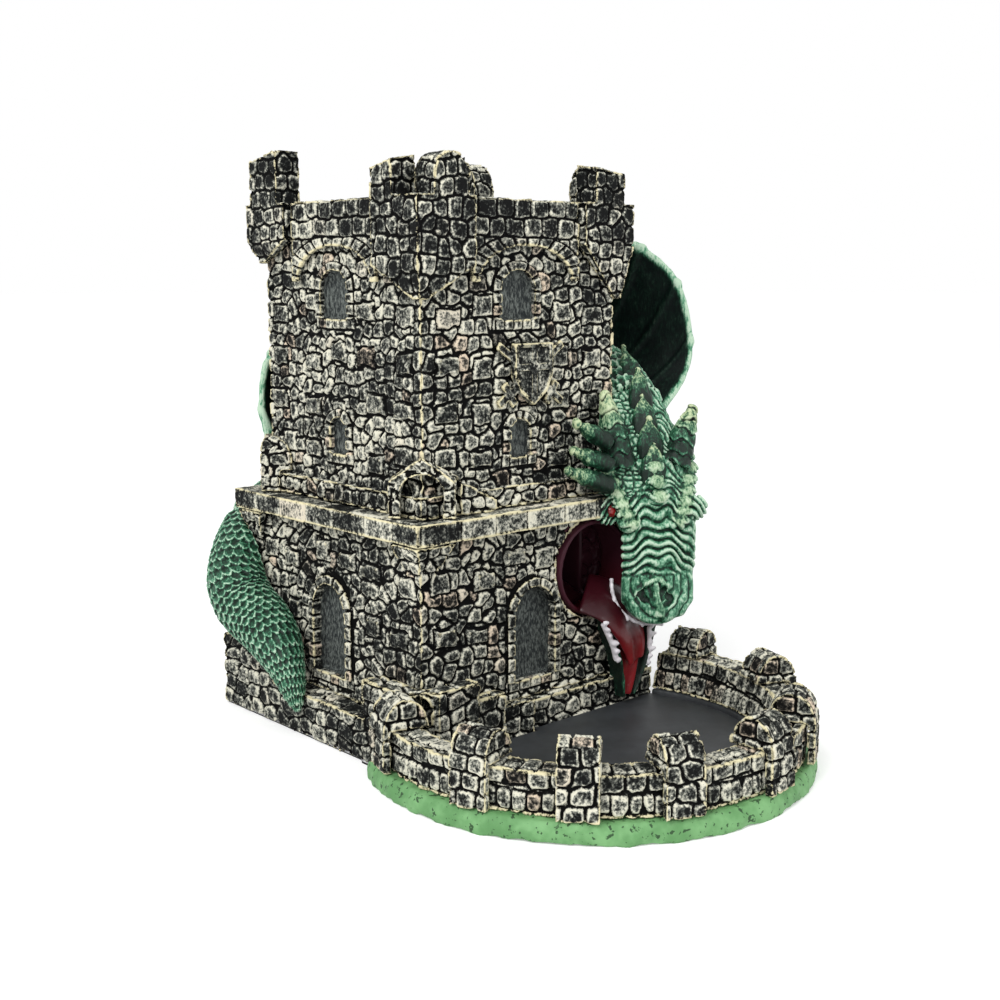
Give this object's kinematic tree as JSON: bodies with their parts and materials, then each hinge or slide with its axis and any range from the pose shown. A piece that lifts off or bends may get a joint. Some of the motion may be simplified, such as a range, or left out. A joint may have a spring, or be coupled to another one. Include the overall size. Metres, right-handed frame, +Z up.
{
  "type": "dice tower",
  "caption": "Stone keep dice tower with a dragon coiled round it, sloping boards inside, a mouth outlet and a loose round tray with a merloned wall.",
  "frame": {"origin": "on the table, on the axis of the square tower", "axes": "+Z up, -Y towards the tray and the front, -X to the left as seen from the front"},
  "size_m": [0.1379, 0.1893, 0.165],
  "materials": {
    "stone": "cast resin, dry-brushed grey stone",
    "pale_stone": "cast resin, dry-brushed pale stone",
    "slate": "cast resin, dark slate wash",
    "bone": "cast resin, bone paint",
    "board": "black, satin",
    "throat": "dark red gloss paint",
    "tongue": "red gloss paint",
    "scale": "cast resin, green with pale dry-brushing",
    "pale_scale": "cast resin, pale green",
    "tooth": "off-white paint",
    "eye": "red gloss paint",
    "grass": "light green paint",
    "mat": "dark smooth paint"
  },
  "bodies": {
    "tower": {"cheek_spike_1": "pale_scale", "cheek_spike_2": "pale_scale", "cheek_spike_3": "pale_scale", "crest_spine_1": "pale_scale", "crest_spine_2": "pale_scale", "crest_spine_3": "pale_scale", "crest_spine_4": "pale_scale", "crest_spine_5": "pale_scale", "dragon_body": "scale", "dragon_head": "scale", "dragon_tail": "scale", "eye_left": "eye", "eye_right": "eye", "horn_left": "pale_scale", "horn_right": "pale_scale", "lower_jaw": "scale", "lower_storey": "stone", "mouth_lining": "throat", "niche_back_left": "pale_stone", "niche_front_left": "pale_stone", "parapet_back": "stone", "parapet_front": "stone", "parapet_left": "stone", "parapet_right": "stone", "plinth": "stone", "ramp_lower": "throat", "ramp_middle": "board", "ramp_upper": "board", "shield_relief": "bone", "string_course": "pale_stone", "teeth_lower_left": "tooth", "teeth_lower_right": "tooth", "teeth_upper": "tooth", "throat_guide": "board", "tongue": "tongue", "turret_back_left": "stone", "turret_back_right": "stone", "turret_front_left": "stone", "turret_front_right": "stone", "upper_storey": "stone", "wing_left": "scale", "wing_right": "scale"},
    "tray": {"tray_base": "grass", "tray_mat": "mat", "tray_merlon_1": "slate", "tray_merlon_2": "slate", "tray_merlon_3": "slate", "tray_merlon_4": "slate", "tray_merlon_5": "slate", "tray_merlon_6": "slate", "tray_merlon_7": "slate", "tray_merlon_8": "slate", "tray_wall": "stone"}
  },
  "joints": [
    {"name": "tray_slide", "type": "slide", "parent": "tower", "child": "tray", "axis": [0, -1, 0], "range_m": [0, 0.1]}
  ]
}
